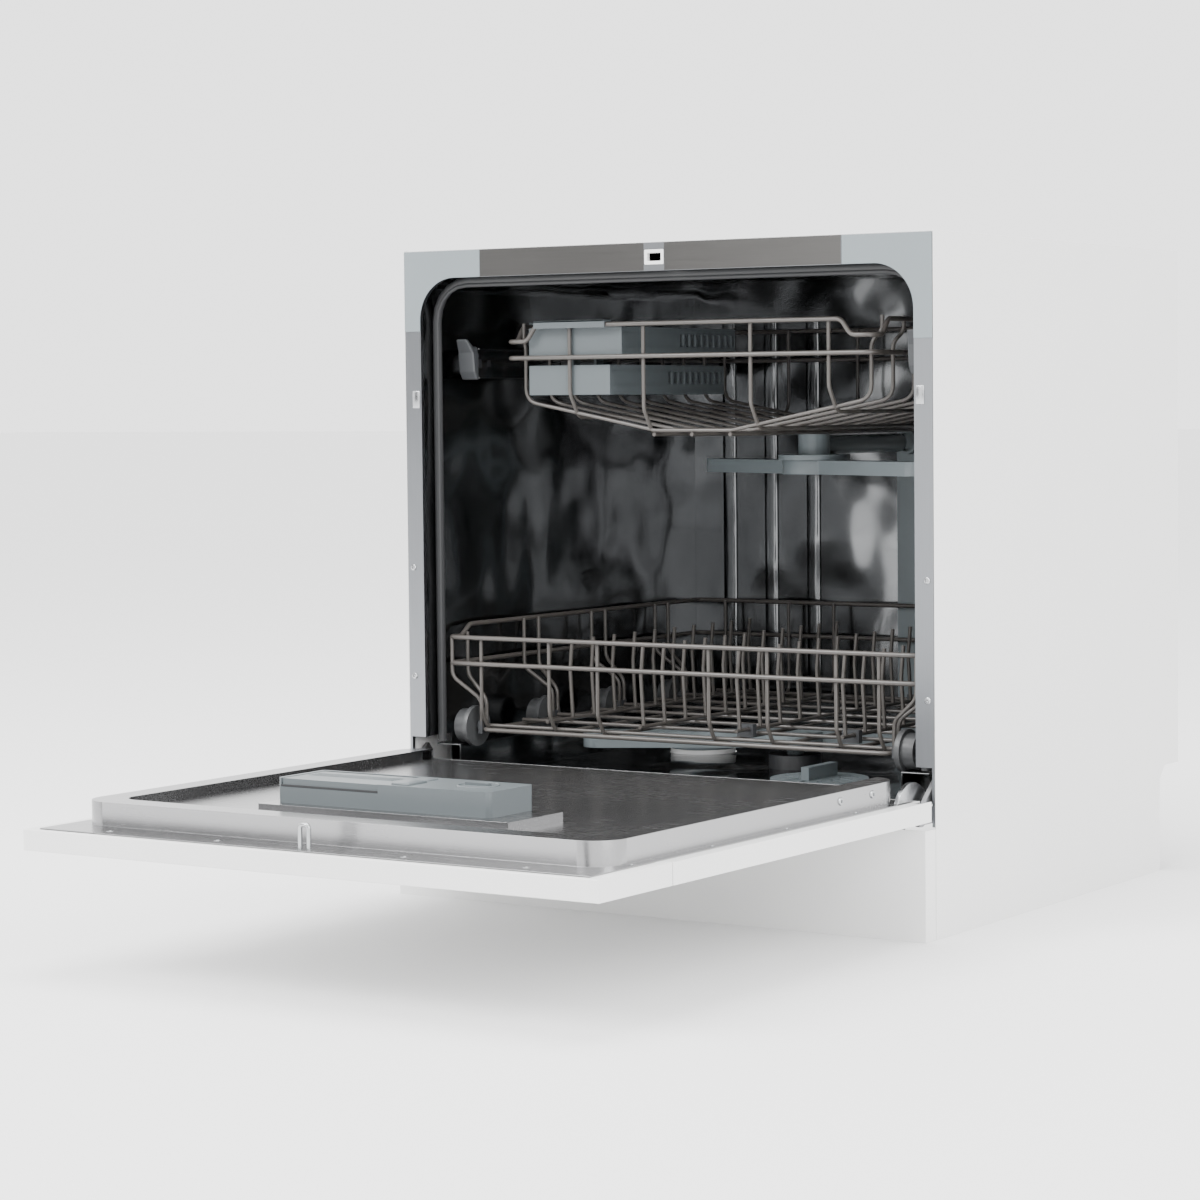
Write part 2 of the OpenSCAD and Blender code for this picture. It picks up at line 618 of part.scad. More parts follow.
// A flanged wheel: the drum runs on the track, the flange keeps it there.
module wheel_pair(y) both() translate([0, y, wheel_z]) difference() {
  union() {
    rod_x(wheel_x - 6, wheel_x - 1, 0, 0, wheel_r + 3.2);
    rod_x(wheel_x - 1.1, wheel_x + wheel_w, 0, 0, wheel_r);
  }
  rod_x(wheel_x - 8, wheel_x + 15, 0, 0, 3 + play);
  for (a = [0:45:315]) rotate([a, 0, 0]) rod_x(wheel_x + 4, wheel_x + 15, 0, 9.5, 2.6);
}
module lower_wheels_1() color(plastic) front() wheel_pair(wheel_y[0]);
module lower_wheels_2() color(plastic) front() wheel_pair(wheel_y[1]);
module lower_wheels_3() color(plastic) front() wheel_pair(wheel_y[2]);
module lower_wheels_4() color(plastic) front() wheel_pair(wheel_y[3]);

// ---- upper rack ----

module rail_outline() {
  t = 1.5;
  translate([rail_x - t / 2, rail_z]) square([t, rail_h]);
  for (z = [rail_z, rail_z + rail_h - t]) translate([rail_x - rail_side, z]) square([2 * rail_side, t]);
}
module upper_rails() color(steel) front() both() along_y(rail_front, rail_rear) rail_outline();
// The front caps rise to a thin hook that leans forwards.
module cap_outline() polygon([[-0.1, -1], [-3, -1], [-7, 6], [-9, rail_h - 4], [-16, rail_h + 8],
  [-12.5, rail_h + 8], [-6, rail_h + 1.5], [-0.1, rail_h + 1.5]]);
module cap_front() polygon([[-rail_side, -1], [rail_side, -1], [rail_side, rail_h - 6],
  [rail_side - 3, rail_h + 8], [3 - rail_side, rail_h + 8], [-rail_side, rail_h - 6]]);
module rail_end_caps() color(plastic) front() both() {
  translate([rail_x, rail_front, rail_z]) intersection() {
    translate([-rail_side - 1, 0, 0]) rotate([90, 0, 90]) linear_extrude(2 * rail_side + 2) cap_outline();
    along_y(-30, 10) cap_front();
  }
  box([rail_x - rail_side, rail_rear + 0.1, rail_z], [rail_x + rail_side, rail_rear + 6, rail_z + rail_h]);
}
module guide_pair(y) both() translate([0, y, roller_z]) difference() {
  rod_x(rail_x + 1.2, rail_x + 8.6, 0, 0, roller_r);
  rod_x(rail_x, rail_x + 10, 0, 0, 3 + play);
}
module guide_rollers_1() color(plastic) front() guide_pair(guide_y[0]);
module guide_rollers_2() color(plastic) front() guide_pair(guide_y[1]);
module guide_axles() color(steel) front() both() for (y = guide_y) {
  rod_x(rail_x + 1.2, tub_w, y, roller_z, 3);
  rod_x(rail_x + 9.6, tub_w, y, roller_z, 9);
}

module rack_roller_pair(y) both() translate([0, y, roller_z]) difference() {
  rod_x(rail_x - 8.6, rail_x - 1.2, 0, 0, roller_r);
  rod_x(rail_x - 10, rail_x, 0, 0, 3 + play);
}
module rack_rollers_1() color(plastic) front() rack_roller_pair(rack_roller_y[0]);
module rack_rollers_2() color(plastic) front() rack_roller_pair(rack_roller_y[1]);
module roller_brackets() color(plastic) front() both() for (y = rack_roller_y) {
  rod_x(upper_w + 2, rail_x - 1.2, y, roller_z, 3);
  box([upper_w + 1.2, y - 14, roller_z - 9], [upper_w + 5, y + 14, upper_top_z - 1]);
}

upper_flat = 40;                       // half width of the flat middle of the floor
upper_fall = 27;                       // how far the floor falls from the sides to the middle
function floor_at(x) =
  upper_floor_z + upper_fall * max(0, abs(x) - upper_flat) / (upper_w - cross - upper_flat);
// One sloping side of the floor, in the plane y.
module floor_slope(s, y, drop) {
  x1 = s * (upper_w - cross);
  wire([x1, y, floor_at(x1) - drop], [s * (upper_flat - 2), y, upper_floor_z - drop]);
}
module upper_side(x) {
  s = sign(x);
  wire_y(upper_front, upper_rear, x, upper_top_z);
  wire_y(upper_front, upper_rear, x, upper_mid_z);
  for (y = [upper_front + 22:38:upper_rear - 22]) {
    wire_z(floor_at(x) - 1, upper_top_z, x - s * cross, y);
    floor_slope(s, y, -cross);
  }
  for (t = [0.35, 0.7]) {
    along = x * t + s * upper_flat * (1 - t);
    wire_y(upper_front + 3, upper_rear - 3, along, floor_at(along));
  }
}
upper_posts = [-125, -45, 67, 146];
module upper_end(y, inward) {
  for (z = [upper_top_z, upper_mid_z]) wire_x(-upper_w, upper_w, y, z);
  for (p = upper_posts * upper_w / 192.2) wire_z(floor_at(p) - 1, upper_top_z, p, y + inward * cross);
  for (s = [-1, 1]) floor_slope(s, y + inward * cross, 0);
  wire_x(-upper_flat - 4, upper_flat + 4, y + inward * cross, upper_floor_z - 1.3);
}
module upper_rack_sides() color(coat) front() for (s = [-1, 1]) upper_side(s * upper_w);
module upper_rack_ends() color(coat) front() {
  upper_end(upper_front, 1);
  upper_end(upper_rear, -1);
}
module upper_rack_floor() color(coat) front() {
  for (t = [-1:0.5:1]) wire_y(upper_front + 3, upper_rear - 3, t * upper_flat, upper_floor_z);
  for (y = [upper_front + 22:38:upper_rear - 22])
    wire_x(-upper_flat - 1, upper_flat + 1, y, upper_floor_z + cross);
}

// Shallow trays for cutlery, hooked over the wires of the left side.
tray_x = [-upper_w + 20, -upper_w + 122];
tray_y = upper_front + cross + wire_r + gap;
hook_y = upper_front + 38;
module tray(z0, z1, x1) difference() {
  slab([tray_x[0], tray_y, z0], [x1, upper_front + 200, z1], 8);
  slab([tray_x[0] + 2, tray_y + 2, z0 + 2], [x1 - 2, upper_front + 198, z1 + 1], 6);
}
// A hook that reaches over a wire of the side.
module side_hook(y, z0, z1) {
  x = tray_x[0] - 0.1;
  box([x - 2.3, y, z0], [x + 0.1 + e, y + 12, z0 + 12]);
  box([x - 2.3, y, z0], [x, y + 12, z1 + wire_r + 2]);
  box([-upper_w - 2.5, y, z1 + wire_r], [x, y + 12, z1 + wire_r + 2]);
}
module cutlery_tray_upper() color(plastic) front() {
  z1 = upper_top_z - 2;
  tray(upper_top_z - 28, z1, tray_x[1]);
  for (y = [hook_y, hook_y + 114]) side_hook(y, z1 - 12, upper_top_z);
  // lip over the front wire
  box([tray_x[0] + 12, tray_y, z1 - e], [tray_x[1] - 12, tray_y + 2, upper_top_z + wire_r + 2]);
  box([tray_x[0] + 12, upper_front - 4, upper_top_z + wire_r], [tray_x[1] - 12, tray_y + 2, upper_top_z + wire_r + 2]);
}
module cutlery_tray_lower() color(plastic) front() {
  tray(upper_top_z - 63, upper_top_z - 36, tray_x[1] - 13);
  for (y = [hook_y + 38, hook_y + 76]) side_hook(y, upper_top_z - 63, upper_mid_z);
}

side_panel_left();
side_panel_right();
top_panel();
back_panel();
base_tray();
levelling_feet();
plinth_panel();
front_frame();
corner_trims();
latch_keeper();
door_gasket();
tub_wrapper();
tub_back();
tub_floor();
sump();
softener();
spray_riser();
circulation_pump();
inlet_valve();
hinge_brackets();
guide_axles();
filter();
salt_cap();
lower_spray_arm();
upper_spray_arm();
hinge_arms();
hinge_covers();
door_decor_panel();
door_fascia();
door_liner();
dispenser_body();
latch_strike();
dispenser_lid();
rinse_cap();
power_button();
start_button();
lower_rack_sides();
lower_rack_ends();
lower_rack_floor();
rack_fittings();
fixed_tines();
folding_tines_inner();
folding_tines_outer();
lower_wheels_1();
lower_wheels_2();
lower_wheels_3();
lower_wheels_4();
upper_rails();
rail_end_caps();
guide_rollers_1();
guide_rollers_2();
upper_rack_sides();
upper_rack_ends();
upper_rack_floor();
roller_brackets();
rack_rollers_1();
rack_rollers_2();
upper_feed_pipe();
cutlery_tray_upper();
cutlery_tray_lower();
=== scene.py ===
"""Compact built-in dishwasher: looks, fine pieces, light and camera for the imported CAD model."""

import math

import bmesh
import bpy
from mathutils import Matrix, Vector


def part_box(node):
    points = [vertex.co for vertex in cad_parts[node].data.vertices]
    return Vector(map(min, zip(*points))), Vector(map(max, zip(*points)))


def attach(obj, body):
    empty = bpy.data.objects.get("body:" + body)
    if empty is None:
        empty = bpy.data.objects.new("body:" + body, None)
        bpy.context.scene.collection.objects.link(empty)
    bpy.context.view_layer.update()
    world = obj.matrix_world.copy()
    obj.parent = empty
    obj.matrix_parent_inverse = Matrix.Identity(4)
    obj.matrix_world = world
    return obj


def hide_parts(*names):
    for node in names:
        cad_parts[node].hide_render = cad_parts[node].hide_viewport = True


bl_info = {
    "name": "Dishwasher Builder",
    "version": (1, 0, 0),
    "blender": (4, 5, 0),
    "location": "View3D > Sidebar > Dishwasher",
    "description": "Builds the fine pieces, finishes and stage of a built-in dishwasher",
    "category": "Add Mesh",
}

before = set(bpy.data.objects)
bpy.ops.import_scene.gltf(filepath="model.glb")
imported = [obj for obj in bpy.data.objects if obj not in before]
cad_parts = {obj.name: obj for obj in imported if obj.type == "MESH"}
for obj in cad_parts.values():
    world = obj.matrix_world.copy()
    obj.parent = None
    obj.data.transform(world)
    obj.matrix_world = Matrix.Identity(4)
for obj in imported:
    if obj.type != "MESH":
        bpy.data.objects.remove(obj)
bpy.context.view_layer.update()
MM = 0.001
SIDES = (-1, 1)


class Extent:
    """The box of one or more CAD nodes at rest, with a name for each side."""

    def __init__(self, *nodes):
        boxes = [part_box(node) for node in nodes]
        self.left, self.front, self.bottom = (min(b[0][i] for b in boxes) for i in range(3))
        self.right, self.rear, self.top = (max(b[1][i] for b in boxes) for i in range(3))


# ---- materials ----


class Value:
    """A shader socket that can be added, multiplied and so on."""

    def __init__(self, look, socket):
        self.look, self.socket = look, socket

    def _math(self, operation, other, swap=False):
        pair = (other, self) if swap else (self, other)
        return self.look.node("ShaderNodeMath", operation=operation, inputs={0: pair[0], 1: pair[1]})

    def __add__(self, other):
        return self._math("ADD", other)

    def __radd__(self, other):
        return self._math("ADD", other, swap=True)

    def __sub__(self, other):
        return self._math("SUBTRACT", other)

    def __rsub__(self, other):
        return self._math("SUBTRACT", other, swap=True)

    def __mul__(self, other):
        return self._math("MULTIPLY", other)

    def __rmul__(self, other):
        return self._math("MULTIPLY", other, swap=True)


class Look:
    """A material whose nodes are made by one method."""

    def __init__(self, name):
        self.material = bpy.data.materials.new(name)
        self.material.use_nodes = True
        self.tree = self.material.node_tree
        self.surface = self.tree.nodes["Principled BSDF"]
        self.place = self.node("ShaderNodeTexCoord", output="Object")

    def node(self, kind, output=0, inputs=None, **settings):
        made = self.tree.nodes.new(kind)
        for key, value in settings.items():
            setattr(made, key, value)
        for key, value in (inputs or {}).items():
            self.join(made.inputs[key], value)
        return Value(self, made.outputs[output])

    def join(self, socket, value):
        if isinstance(value, Value):
            self.tree.links.new(value.socket, socket)
        else:
            socket.default_value = value

    def stretch(self, scale):
        return self.node("ShaderNodeMapping", inputs={"Vector": self.place, "Scale": scale})

    def noise(self, scale, detail=3.0, where=None):
        inputs = {"Vector": where or self.place, "Scale": scale, "Detail": detail}
        return self.node("ShaderNodeTexNoise", output="Fac", inputs=inputs)

    def tint(self, colour, darker, factor):
        """A colour that varies a little between itself and a darker one."""
        low = tuple(c * darker for c in colour[:3]) + (1.0,)
        inputs = {"Factor": factor, 6: low, 7: tuple(colour[:3]) + (1.0,)}
        return self.node("ShaderNodeMix", output=2, data_type="RGBA", inputs=inputs)

    def bump(self, height, distance, strength=0.3):
        inputs = {"Height": height, "Distance": distance, "Strength": strength}
        return self.node("ShaderNodeBump", inputs=inputs)

    def finish(self, **inputs):
        for key, value in inputs.items():
            self.join(self.surface.inputs[key.replace("_", " ")], value)
        return self.material


def plastic(name, colour, rough, grain=900.0, bump=0.12, coat=0.0):
    """Moulded plastic or paint: faint cloudiness, and a fine grain in the surface."""
    look = Look(name)
    cloud = look.noise(14.0, 4.0)
    fine = look.noise(grain, 2.0)
    look.surface.inputs["IOR"].default_value = 1.46
    return look.finish(
        Base_Color=look.tint(colour, 0.94, cloud * 0.7 + fine * 0.3),
        Roughness=cloud * 0.10 + (rough - 0.05),
        Coat_Weight=cloud * 0.1 + coat,
        Normal=look.bump(fine, 0.0002, bump),
    )


def metal(name, colour, rough, brush=(4.0, 4.0, 4.0), bump=0.08, smear=0.08):
    """Sheet steel, brushed along one axis or polished."""
    look = Look(name)
    lines = look.noise(60.0, 4.0, look.stretch(brush))
    smudge = look.noise(9.0, 3.0)
    look.surface.inputs["Metallic"].default_value = 1.0
    return look.finish(
        Base_Color=look.tint(colour, 0.88, lines),
        Roughness=lines * 0.08 + smudge * smear + (rough - 0.06),
        Normal=look.bump(lines, 0.0001, bump),
    )


def pressed_steel(name, colour, rough, wave):
    """Polished deep-drawn sheet: slow waves break up what it mirrors."""
    look = Look(name)
    slow = look.noise(wave, 2.0)
    fine = look.noise(70.0, 3.0)
    look.surface.inputs["Metallic"].default_value = 1.0
    return look.finish(
        Base_Color=look.tint(colour, 0.72, slow * 0.6 + fine * 0.4),
        Roughness=slow * 0.12 + fine * 0.06 + (rough - 0.08),
        Normal=look.bump(slow, 0.05, 0.5),
    )


def build_materials(settings):
    grey, white = settings.plastic_colour, settings.white_colour
    dark = (0.02, 0.021, 0.023)
    steel = settings.steel_colour
    return {
        "white": plastic("white_enamel", white, 0.32, 500.0, 0.05, coat=0.25),
        "white_plastic": plastic("white_plastic", white, 0.38, 900.0, 0.08),
        "grey": plastic("grey_plastic", grey, 0.42),
        "tray": plastic("tray_plastic", [c * 0.52 for c in grey], 0.4),
        "wheel": plastic("wheel_plastic", (0.062, 0.064, 0.066), 0.42),
        "cap": plastic("cap_plastic", (0.05, 0.053, 0.057), 0.42),
        "wire": plastic("wire_coat", settings.wire_colour, 0.34, 1500.0, 0.04, coat=0.2),
        # real dark plastic, and also the dark plates that are painted shade in the wheel pockets, rail
        # openings and the lid's slit
        "dark": plastic("dark_plastic", dark, 0.5),
        "rubber": plastic("seal_rubber", (0.04, 0.041, 0.043), 0.6, 1200.0, 0.2),
        "brushed_x": metal("brushed_steel_x", steel, 0.30, (0.4, 30.0, 30.0)),
        "brushed_z": metal("brushed_steel_z", steel, 0.30, (30.0, 30.0, 0.4)),
        # a darker copy of the brushed steel: painted shade for the dark that the strip mirrors
        "strip": metal("strip_steel_painted_shade", (0.13, 0.127, 0.123), 0.30, (0.3, 60.0, 60.0)),
        "polished": pressed_steel("polished_steel", (0.20, 0.205, 0.21), 0.15, 6.0),
        "chrome": metal("rail_chrome", (0.42, 0.42, 0.43), 0.13, (0.6, 10.0, 10.0), 0.03),
        "liner": metal("liner_steel", settings.liner_colour, 0.24, (0.5, 12.0, 12.0), 0.05),
        "zinc": metal("zinc_steel", (0.34, 0.34, 0.35), 0.4, bump=0.1),
        "screw": metal("screw_steel", (0.46, 0.47, 0.48), 0.22, (12.0, 12.0, 12.0), 0.1),
    }


MATERIALS = {}
NODE_LOOKS = {
    "white": "side_panel_left side_panel_right top_panel plinth_panel door_decor_panel",
    "white_plastic": "door_fascia latch_keeper softener inlet_valve",
    "grey": "corner_trims lower_spray_arm upper_spray_arm"
            " upper_feed_pipe spray_riser filter salt_cap power_button start_button",
    "cap": "rail_end_caps roller_brackets rack_fittings",
    "wheel": "lower_wheels_1 lower_wheels_2 lower_wheels_3 lower_wheels_4"
             " guide_rollers_1 guide_rollers_2 rack_rollers_1 rack_rollers_2",
    "wire": "lower_rack_sides lower_rack_ends lower_rack_floor fixed_tines folding_tines_inner"
            " folding_tines_outer upper_rack_sides upper_rack_ends upper_rack_floor",
    "tray": "cutlery_tray_upper cutlery_tray_lower dispenser_body dispenser_lid rinse_cap",
    "dark": "base_tray levelling_feet sump circulation_pump",
    "rubber": "door_gasket",
    "brushed_z": "front_frame",
    "polished": "tub_wrapper tub_back tub_floor",
    "liner": "door_liner",
    "zinc": "back_panel hinge_brackets hinge_arms guide_axles",
    "chrome": "upper_rails",
    "screw": "hinge_covers latch_strike",
}
BEVELS = {
    "door_liner": 4.5, "dispenser_body": 1.6, "dispenser_lid": 1.2, "rinse_cap": 0.8,
    "corner_trims": 0.3, "latch_keeper": 0.7, "hinge_covers": 0.7, "rail_end_caps": 1.6,
    "lower_wheels_1": 0.9, "lower_wheels_2": 0.9, "lower_wheels_3": 0.9, "lower_wheels_4": 0.9,
    "door_decor_panel": 1.0, "door_fascia": 1.0, "plinth_panel": 0.4, "side_panel_left": 0.4,
    "side_panel_right": 0.4, "top_panel": 0.4, "upper_rails": 0.5, "lower_spray_arm": 3.0,
    "upper_spray_arm": 3.0, "upper_feed_pipe": 1.0, "spray_riser": 1.5, "roller_brackets": 0.8,
    "rack_fittings": 0.8, "power_button": 0.4, "start_button": 0.4, "filter": 1.0, "salt_cap": 1.5,
    "softener": 2.0, "inlet_valve": 1.5, "base_tray": 0.8, "sump": 3.0, "latch_strike": 0.5,
    "tub_floor": 0.5, "circulation_pump": 2.0, "levelling_feet": 0.6, "back_panel": 0.3,
}


# ---- geometry node helpers ----


def add_node(tree, kind, links=(), **values):
    """One geometry node, its sockets fed by links or by plain values."""
    made = tree.nodes.new(kind)
    for key, value in values.items():
        if hasattr(made, key) and key not in made.inputs:
            setattr(made, key, value)
        else:
            made.inputs[key.replace("_", " ")].default_value = value
    for name, source in dict(links).items():
        tree.links.new(source, made.inputs[name])
    return made


def new_tree(name, sockets):
    tree = bpy.data.node_groups.new(name, "GeometryNodeTree")
    tree.is_modifier = True
    tree.interface.new_socket("Geometry", in_out="INPUT", socket_type="NodeSocketGeometry")
    for label, kind in sockets.items():
        tree.interface.new_socket(label, in_out="INPUT", socket_type=kind)
    tree.interface.new_socket("Geometry", in_out="OUTPUT", socket_type="NodeSocketGeometry")
    return tree, add_node(tree, "NodeGroupInput"), add_node(tree, "NodeGroupOutput")


def end_tree(tree, source, given, out):
    """Every tree ends by realizing its instances and setting the material."""
    real = add_node(tree, "GeometryNodeRealizeInstances", {"Geometry": source})
    paint = add_node(tree, "GeometryNodeSetMaterial",
                     {"Geometry": real.outputs[0], "Material": given.outputs["Material"]})
    tree.links.new(paint.outputs[0], out.inputs[0])
    return tree


def wire_tree():
    """Turns edges into round wires with rounded bends."""
    tree, given, out = new_tree("bent_wires", {
        "Radius": "NodeSocketFloat", "Bend": "NodeSocketFloat", "Sides": "NodeSocketInt",
        "Flatten": "NodeSocketFloat", "Material": "NodeSocketMaterial"})
    curve = add_node(tree, "GeometryNodeMeshToCurve", {"Mesh": given.outputs["Geometry"]})
    bent = add_node(tree, "GeometryNodeFilletCurve",
                    {"Curve": curve.outputs[0], "Radius": given.outputs["Bend"]}, mode="POLY")
    bent.inputs["Count"].default_value = 5
    bent.inputs["Limit Radius"].default_value = True
    ring = add_node(tree, "GeometryNodeCurvePrimitiveCircle",
                    {"Resolution": given.outputs["Sides"], "Radius": given.outputs["Radius"]})
    size = add_node(tree, "ShaderNodeCombineXYZ", {"Y": given.outputs["Flatten"]}, X=1.0, Z=1.0)
    flat = add_node(tree, "GeometryNodeTransform",
                    {"Geometry": ring.outputs[0], "Scale": size.outputs[0]})
    tube = add_node(tree, "GeometryNodeCurveToMesh",
                    {"Curve": bent.outputs[0], "Profile Curve": flat.outputs[0]}, Fill_Caps=True)
    smooth = add_node(tree, "GeometryNodeSetShadeSmooth", {"Geometry": tube.outputs[0]})
    return end_tree(tree, smooth.outputs[0], given, out)


def copies_tree():
    """Puts a copy of one small shape on each point."""
    tree, given, out = new_tree("copies_on_points", {
        "Shape": "NodeSocketObject", "Material": "NodeSocketMaterial"})
    shape = add_node(tree, "GeometryNodeObjectInfo", {"Object": given.outputs["Shape"]})
    place = add_node(tree, "GeometryNodeInstanceOnPoints",
                     {"Points": given.outputs["Geometry"], "Instance": shape.outputs["Geometry"]})
    return end_tree(tree, place.outputs[0], given, out)


def line_mesh(name, paths, closed=False):
    """A mesh of edges only, one string of edges for each path."""
    points, edges = [], []
    for path in paths:
        start = len(points)
        points += [tuple(p) for p in path]
        edges += [(start + i, start + i + 1) for i in range(len(path) - 1)]
        if closed:
            edges.append((len(points) - 1, start))
    mesh = bpy.data.meshes.new(name)
    mesh.from_pydata(points, edges, [])
    return mesh


def run_tree(name, mesh, tree, values):
    """Applies a node tree to a mesh and gives back a plain object."""
    source = bpy.data.objects.new(name + "_source", mesh)
    bpy.context.scene.collection.objects.link(source)
    modifier = source.modifiers.new("nodes", "NODES")
    modifier.node_group = tree
    for item in tree.interface.items_tree:
        if item.in_out == "INPUT" and item.name in values:
            modifier[item.identifier] = values[item.name]
    bpy.context.view_layer.update()
    graph = bpy.context.evaluated_depsgraph_get()
    result = bpy.data.meshes.new_from_object(source.evaluated_get(graph))
    bpy.data.objects.remove(source)
    return add_object(name, result)


def add_object(name, mesh):
    mesh.name = name
    made = bpy.data.objects.new(name, mesh)
    bpy.context.scene.collection.objects.link(made)
    return made


def wires(name, paths, radius, material, bend=8 * MM, sides=12, flatten=1.0, closed=False):
    values = {"Radius": radius, "Bend": bend, "Sides": sides, "Flatten": flatten,
              "Material": MATERIALS[material]}
    return run_tree(name, line_mesh(name, paths, closed), bpy.data.node_groups["bent_wires"], values)


def copies(name, shape, points, material):
    """Copies of a small shape, which is used up."""
    values = {"Shape": shape, "Material": MATERIALS[material]}
    made = run_tree(name, line_mesh(name, [[p] for p in points]),
                    bpy.data.node_groups["copies_on_points"], values)
    bpy.data.objects.remove(shape)
    return made


def block(low, high, width=0.0, segments=2):
    """A closed block between two corners, its edges rounded by width."""
    bm = bmesh.new()
    bmesh.ops.create_cube(bm, size=1.0)
    size = [high[i] - low[i] for i in range(3)]
    middle = [(high[i] + low[i]) / 2 for i in range(3)]
    place = Matrix.Translation(middle) @ Matrix.Diagonal(size + [1])
    bmesh.ops.transform(bm, verts=bm.verts, matrix=place)
    if width:
        bmesh.ops.bevel(bm, geom=bm.edges[:], offset=width, segments=segments,
                        affect="EDGES", profile=0.5)
    mesh = bpy.data.meshes.new("block")
    bm.to_mesh(mesh)
    bm.free()
    return mesh


def joined(name, meshes, material, smooth=True):
    """Several closed meshes as one object with one material."""
    bm = bmesh.new()
    for mesh in meshes:
        bm.from_mesh(mesh)
        bpy.data.meshes.remove(mesh)
    bmesh.ops.recalc_face_normals(bm, faces=bm.faces)
    whole = bpy.data.meshes.new(name)
    bm.to_mesh(whole)
    bm.free()
    whole.materials.append(MATERIALS[material])
    made = add_object(name, whole)
    if smooth:
        for face in whole.polygons:
            face.use_smooth = True
    return made


def circle(x, y, radius, count):
    """Points round a circle, as pairs."""
    turns = [2 * math.pi * i / count for i in range(count)]
    return [(x + radius * math.cos(a), y + radius * math.sin(a)) for a in turns]


def screw_shape(radius, height, turn):
    """A pan-head screw with a round recess, its axis turned from +Z by a matrix."""
    bm = bmesh.new()
    rings = [(0.0, -height), (radius, -height), (radius, 0.25 * height), (0.8 * radius, height),
             (0.42 * radius, 1.15 * height), (0.34 * radius, 0.2 * height), (0.0, 0.1 * height)]
    sides = 16
    rows = []
    for r, z in rings:
        if r == 0.0:
            rows.append([bm.verts.new((0, 0, z))])
        else:
            rows.append([bm.verts.new((x, y, z)) for x, y in circle(0.0, 0.0, r, sides)])
    for a, b in zip(rows, rows[1:]):
        for i in range(sides):
            j = (i + 1) % sides
            if len(a) == 1:
                bm.faces.new((a[0], b[j], b[i]))
            elif len(b) == 1:
                bm.faces.new((a[i], a[j], b[0]))
            else:
                bm.faces.new((a[i], a[j], b[j], b[i]))
    bmesh.ops.transform(bm, verts=bm.verts, matrix=turn)
    bmesh.ops.recalc_face_normals(bm, faces=bm.faces)
    mesh = bpy.data.meshes.new("screw")
    bm.to_mesh(mesh)
    bm.free()
    return add_object("screw_shape", mesh)


UP = Matrix.Identity(4)


def evenly(start, stop, count):
    return [start + (stop - start) * i / (count - 1) for i in range(count)]


# ---- settings ----


class DishwasherSettings(bpy.types.PropertyGroup):
    """Sizes and colours that a user would change."""

    wire_diameter: bpy.props.FloatProperty(
        name="Frame wire", description="Diameter of the racks' frame wires", default=4.4 * MM,
        min=3 * MM, max=6 * MM, unit="LENGTH", precision=4)
    fill_diameter: bpy.props.FloatProperty(
        name="Fill wire", description="Diameter of the racks' upright wires and tines",
        default=3.6 * MM, min=2 * MM, max=5 * MM, unit="LENGTH", precision=4)
    bend_radius: bpy.props.FloatProperty(
        name="Bend radius", description="Radius of the bends in the wires", default=9 * MM,
        min=4 * MM, max=20 * MM, unit="LENGTH", precision=4)
    white_colour: bpy.props.FloatVectorProperty(
        name="White", description="Colour of the panels", subtype="COLOR", default=(0.81, 0.81, 0.805),
        min=0.0, max=1.0)
    plastic_colour: bpy.props.FloatVectorProperty(
        name="Plastic", description="Colour of the grey plastic pieces", subtype="COLOR",
        default=(0.185, 0.215, 0.228), min=0.0, max=1.0)
    wire_colour: bpy.props.FloatVectorProperty(
        name="Wire coat", description="Colour of the coated wires", subtype="COLOR",
        default=(0.078, 0.071, 0.065), min=0.0, max=1.0)
    steel_colour: bpy.props.FloatVectorProperty(
        name="Steel", description="Colour of the brushed steel", subtype="COLOR",
        default=(0.265, 0.275, 0.29), min=0.0, max=1.0)
    liner_colour: bpy.props.FloatVectorProperty(
        name="Liner", description="Colour of the steel door liner", subtype="COLOR",
        default=(0.36, 0.36, 0.365), min=0.0, max=1.0)


def settings():
    return bpy.context.scene.dishwasher


# ---- pieces ----


class DISHWASHER_OT_finishes(bpy.types.Operator):
    """Give every CAD piece its finish and small rounded edges"""

    bl_idname = "dishwasher.finishes"
    bl_label = "Finishes"

    def execute(self, context):
        MATERIALS.update(build_materials(settings()))
        wire_tree()
        copies_tree()
        for look, names in NODE_LOOKS.items():
            for name in names.split():
                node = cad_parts[name]
                for slot in node.material_slots:
                    slot.material = MATERIALS[look]
                if name in BEVELS:
                    self.round_edges(node, BEVELS[name] * MM)
        return {"FINISHED"}

    def round_edges(self, node, width):
        weld = node.modifiers.new("weld", "WELD")
        weld.merge_threshold = 0.00001
        bevel = node.modifiers.new("edges", "BEVEL")
        bevel.width = width
        bevel.segments = 3
        bevel.limit_method = "ANGLE"
        bevel.angle_limit = math.radians(40)
        bevel.harden_normals = True
        bevel.use_clamp_overlap = True


